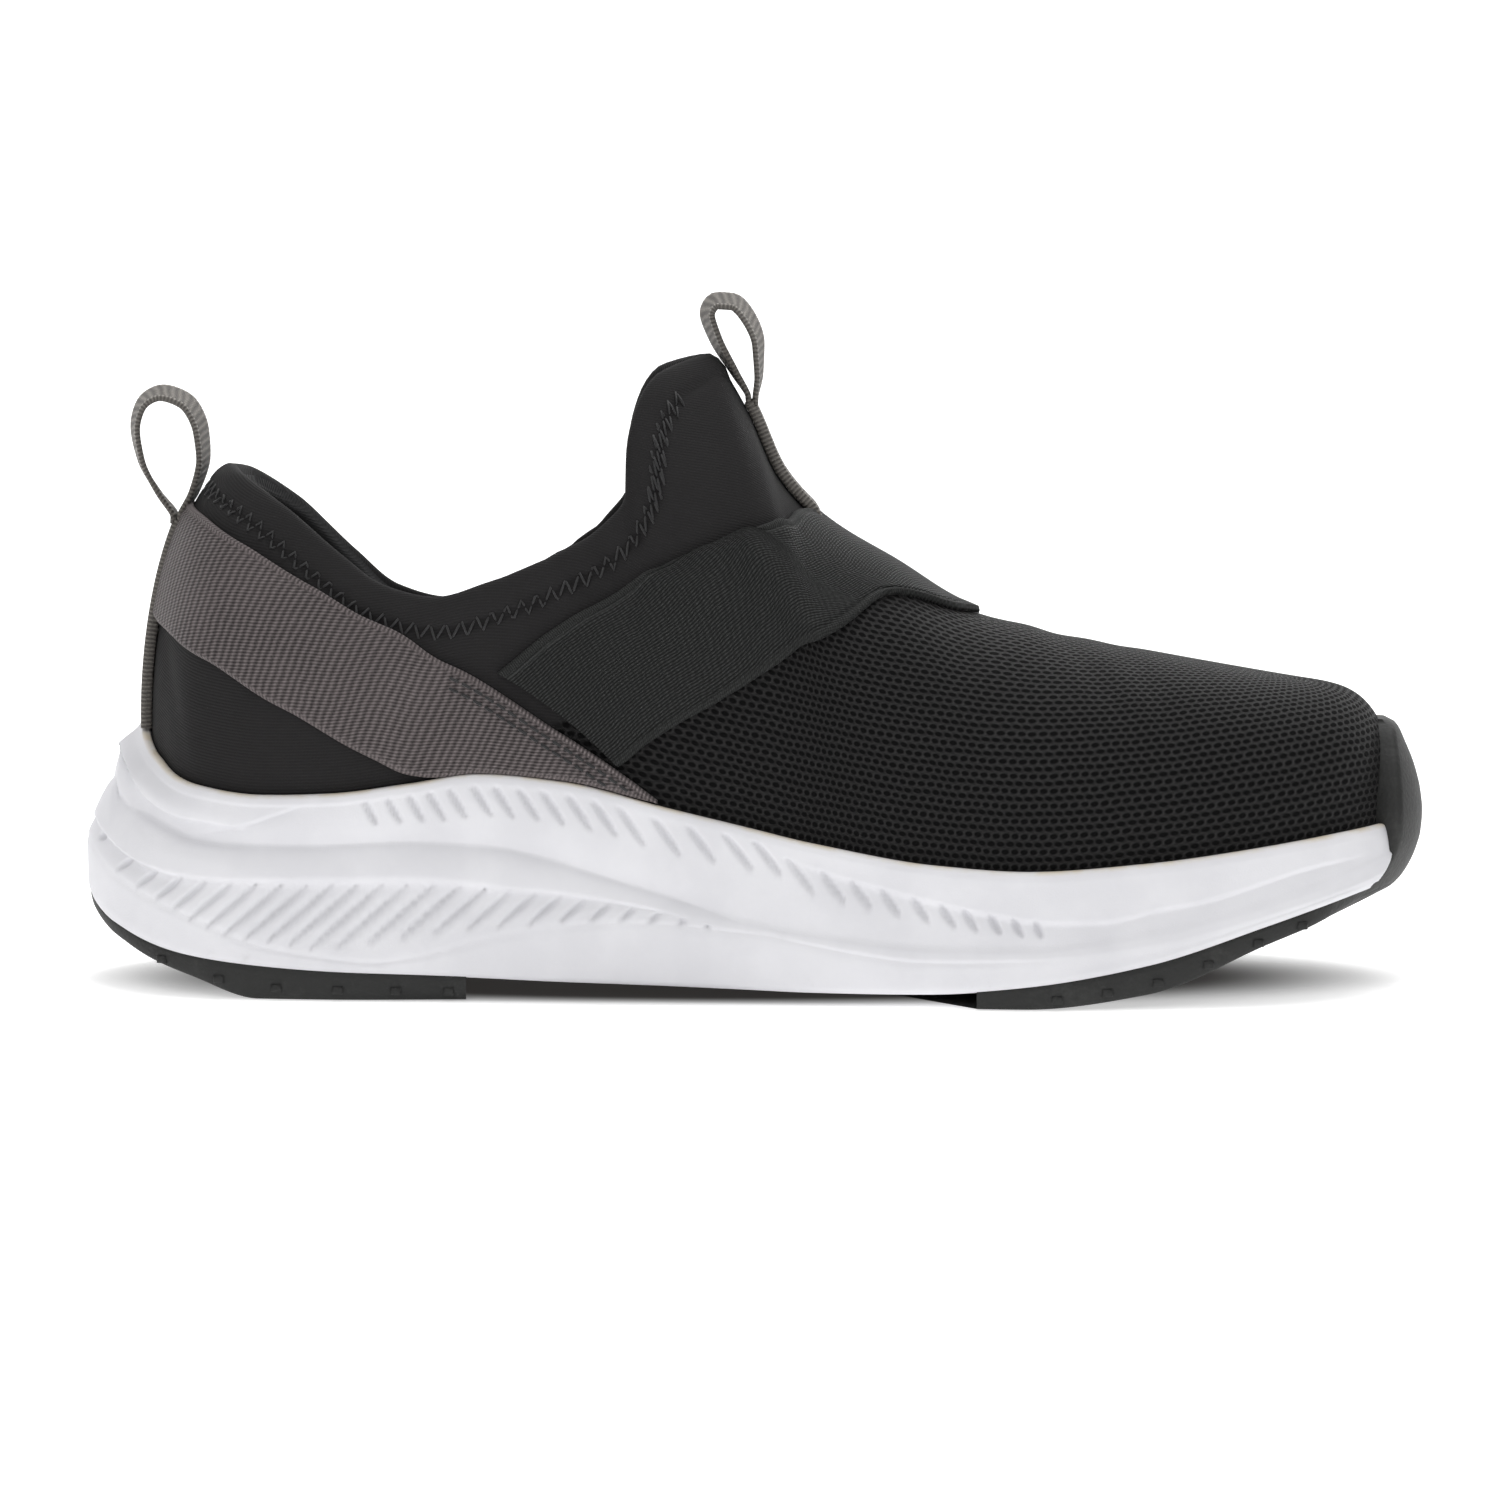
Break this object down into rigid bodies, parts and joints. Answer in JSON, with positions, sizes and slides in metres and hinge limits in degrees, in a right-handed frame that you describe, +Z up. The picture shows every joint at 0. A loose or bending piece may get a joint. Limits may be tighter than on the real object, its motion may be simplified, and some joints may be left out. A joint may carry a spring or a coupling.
{
  "type": "slip-on sneaker",
  "caption": "Black knit slip-on sneaker for the left foot with a wide elastic instep band, grey webbing heel straps and pull loops, and a thick white foam midsole on black rubber.",
  "frame": {"origin": "on the ground, under the middle of the shoe's length and width", "axes": "+X to the toe, +Y to the outer side of the left foot, +Z up"},
  "size_m": [0.2697, 0.0962, 0.1383],
  "materials": {
    "upper_knit": "black knit and open mesh",
    "elastic": "black ribbed elastic",
    "webbing": "warm grey woven webbing",
    "insole_cloth": "black brushed cloth on foam",
    "foam": "satin white moulded foam",
    "rubber": "black moulded rubber"
  },
  "bodies": {
    "root": {"upper": "upper_knit", "instep_band": "elastic", "heel_strap_medial": "webbing", "heel_strap_lateral": "webbing", "heel_loop": "webbing", "tongue_loop": "webbing", "insole": "insole_cloth", "midsole": "foam", "outsole_heel": "rubber", "outsole_forefoot": "rubber"}
  },
  "joints": []
}
